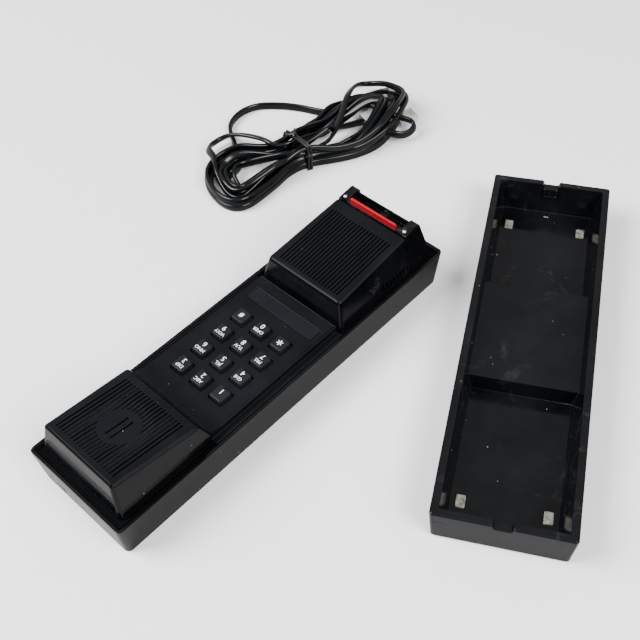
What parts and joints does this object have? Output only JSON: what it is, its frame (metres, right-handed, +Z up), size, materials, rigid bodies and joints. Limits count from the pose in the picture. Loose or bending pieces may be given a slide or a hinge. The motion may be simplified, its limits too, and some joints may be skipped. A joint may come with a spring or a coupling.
{
  "type": "corded slimline telephone with cradle tray",
  "caption": "Slimline telephone: handset with keypad, ribbed ear and mouth pieces and a red hook bar, beside its cradle tray and a tied hank of flat line cord.",
  "frame": {"origin": "middle of the footprint of handset and tray together, the cord left out, on the table", "axes": "+Z up; +Y along the tray's long side towards the end with the wall hole; +X to the right, from the handset to the tray"},
  "size_m": [0.2529, 0.3592, 0.0471],
  "materials": {
    "tray_black": "moulded black plastic, satin gloss",
    "casing_black": "moulded black plastic, glossy, with matt ribbed tops",
    "panel_grey": "dark grey plastic with a fine grain",
    "label_grey": "grey matt strip",
    "key_grey": "dark grey matt plastic with white printed characters",
    "hook_red": "bright red moulded plastic",
    "stud_steel": "polished steel",
    "foot_clear": "translucent soft plastic",
    "iron": "plain iron bar",
    "steel": "zinc plated steel",
    "part_black": "black moulded plastic",
    "capsule_metal": "plain aluminium can",
    "rubber_black": "soft black rubber",
    "mat_grey": "grey silicone rubber",
    "board_green": "green circuit board",
    "contact_gold": "gold plated contacts",
    "cord_black": "flat black vinyl jacket, semi-gloss",
    "tie_black": "black plastic covered wire",
    "plug_clear": "clear hard plastic"
  },
  "bodies": {
    "base_tray": {"base_tray": "tray_black", "wall_hook": "tray_black", "foot_front_left": "foot_clear", "foot_front_right": "foot_clear", "foot_rear_left": "foot_clear", "foot_rear_right": "foot_clear", "ballast_weight": "iron", "ballast_cover": "tray_black", "cover_screws": "steel"},
    "handset": {"back_shell": "casing_black", "ear_cover": "casing_black", "keypad_panel": "panel_grey", "label_strip": "label_grey", "mouth_cover": "casing_black", "end_cap": "casing_black", "stud_left": "stud_steel", "stud_right": "stud_steel", "hook_spring": "steel", "hook_switch": "part_black", "receiver_capsule": "capsule_metal", "receiver_gasket": "rubber_black", "microphone": "capsule_metal", "microphone_boot": "rubber_black", "ringer": "part_black", "keypad_mat": "mat_grey", "keypad_board": "board_green", "main_board": "board_green", "line_jack": "part_black", "jack_contacts": "contact_gold", "shell_screws": "steel"},
    "line_cord": {"cord_hank": "cord_black", "cord_long_loop": "cord_black", "cord_short_loop": "cord_black", "cord_tie": "tie_black", "plug_a": "plug_clear", "plug_b": "plug_clear"},
    "hook_bar": {"hook_bar": "hook_red"},
    "key_1": {"key_1": "key_grey"},
    "key_2": {"key_2": "key_grey"},
    "key_3": {"key_3": "key_grey"},
    "key_4": {"key_4": "key_grey"},
    "key_5": {"key_5": "key_grey"},
    "key_6": {"key_6": "key_grey"},
    "key_7": {"key_7": "key_grey"},
    "key_8": {"key_8": "key_grey"},
    "key_9": {"key_9": "key_grey"},
    "key_star": {"key_star": "key_grey"},
    "key_0": {"key_0": "key_grey"},
    "key_hash": {"key_hash": "key_grey"}
  },
  "joints": [
    {"name": "handset_lift", "type": "slide", "parent": "base_tray", "child": "handset", "axis": [0, 0, 1], "range_m": [0, 0.08]},
    {"name": "cord_lift", "type": "slide", "parent": "base_tray", "child": "line_cord", "axis": [0, 0, 1], "range_m": [0, 0.08]},
    {"name": "hook_press", "type": "slide", "parent": "handset", "child": "hook_bar", "axis": [0, 0, -1], "range_m": [0, 0.0024], "stiffness_N_per_m": 250, "springref_m": -0.0012, "deforming": ["hook_spring"]},
    {"name": "key_1_press", "type": "slide", "parent": "handset", "child": "key_1", "axis": [0, 0, -1], "range_m": [0, 0.0015], "stiffness_N_per_m": 300, "springref_m": -0.0008},
    {"name": "key_2_press", "type": "slide", "parent": "handset", "child": "key_2", "axis": [0, 0, -1], "range_m": [0, 0.0015], "stiffness_N_per_m": 300, "springref_m": -0.0008},
    {"name": "key_3_press", "type": "slide", "parent": "handset", "child": "key_3", "axis": [0, 0, -1], "range_m": [0, 0.0015], "stiffness_N_per_m": 300, "springref_m": -0.0008},
    {"name": "key_4_press", "type": "slide", "parent": "handset", "child": "key_4", "axis": [0, 0, -1], "range_m": [0, 0.0015], "stiffness_N_per_m": 300, "springref_m": -0.0008},
    {"name": "key_5_press", "type": "slide", "parent": "handset", "child": "key_5", "axis": [0, 0, -1], "range_m": [0, 0.0015], "stiffness_N_per_m": 300, "springref_m": -0.0008},
    {"name": "key_6_press", "type": "slide", "parent": "handset", "child": "key_6", "axis": [0, 0, -1], "range_m": [0, 0.0015], "stiffness_N_per_m": 300, "springref_m": -0.0008},
    {"name": "key_7_press", "type": "slide", "parent": "handset", "child": "key_7", "axis": [0, 0, -1], "range_m": [0, 0.0015], "stiffness_N_per_m": 300, "springref_m": -0.0008},
    {"name": "key_8_press", "type": "slide", "parent": "handset", "child": "key_8", "axis": [0, 0, -1], "range_m": [0, 0.0015], "stiffness_N_per_m": 300, "springref_m": -0.0008},
    {"name": "key_9_press", "type": "slide", "parent": "handset", "child": "key_9", "axis": [0, 0, -1], "range_m": [0, 0.0015], "stiffness_N_per_m": 300, "springref_m": -0.0008},
    {"name": "key_star_press", "type": "slide", "parent": "handset", "child": "key_star", "axis": [0, 0, -1], "range_m": [0, 0.0015], "stiffness_N_per_m": 300, "springref_m": -0.0008},
    {"name": "key_0_press", "type": "slide", "parent": "handset", "child": "key_0", "axis": [0, 0, -1], "range_m": [0, 0.0015], "stiffness_N_per_m": 300, "springref_m": -0.0008},
    {"name": "key_hash_press", "type": "slide", "parent": "handset", "child": "key_hash", "axis": [0, 0, -1], "range_m": [0, 0.0015], "stiffness_N_per_m": 300, "springref_m": -0.0008}
  ]
}
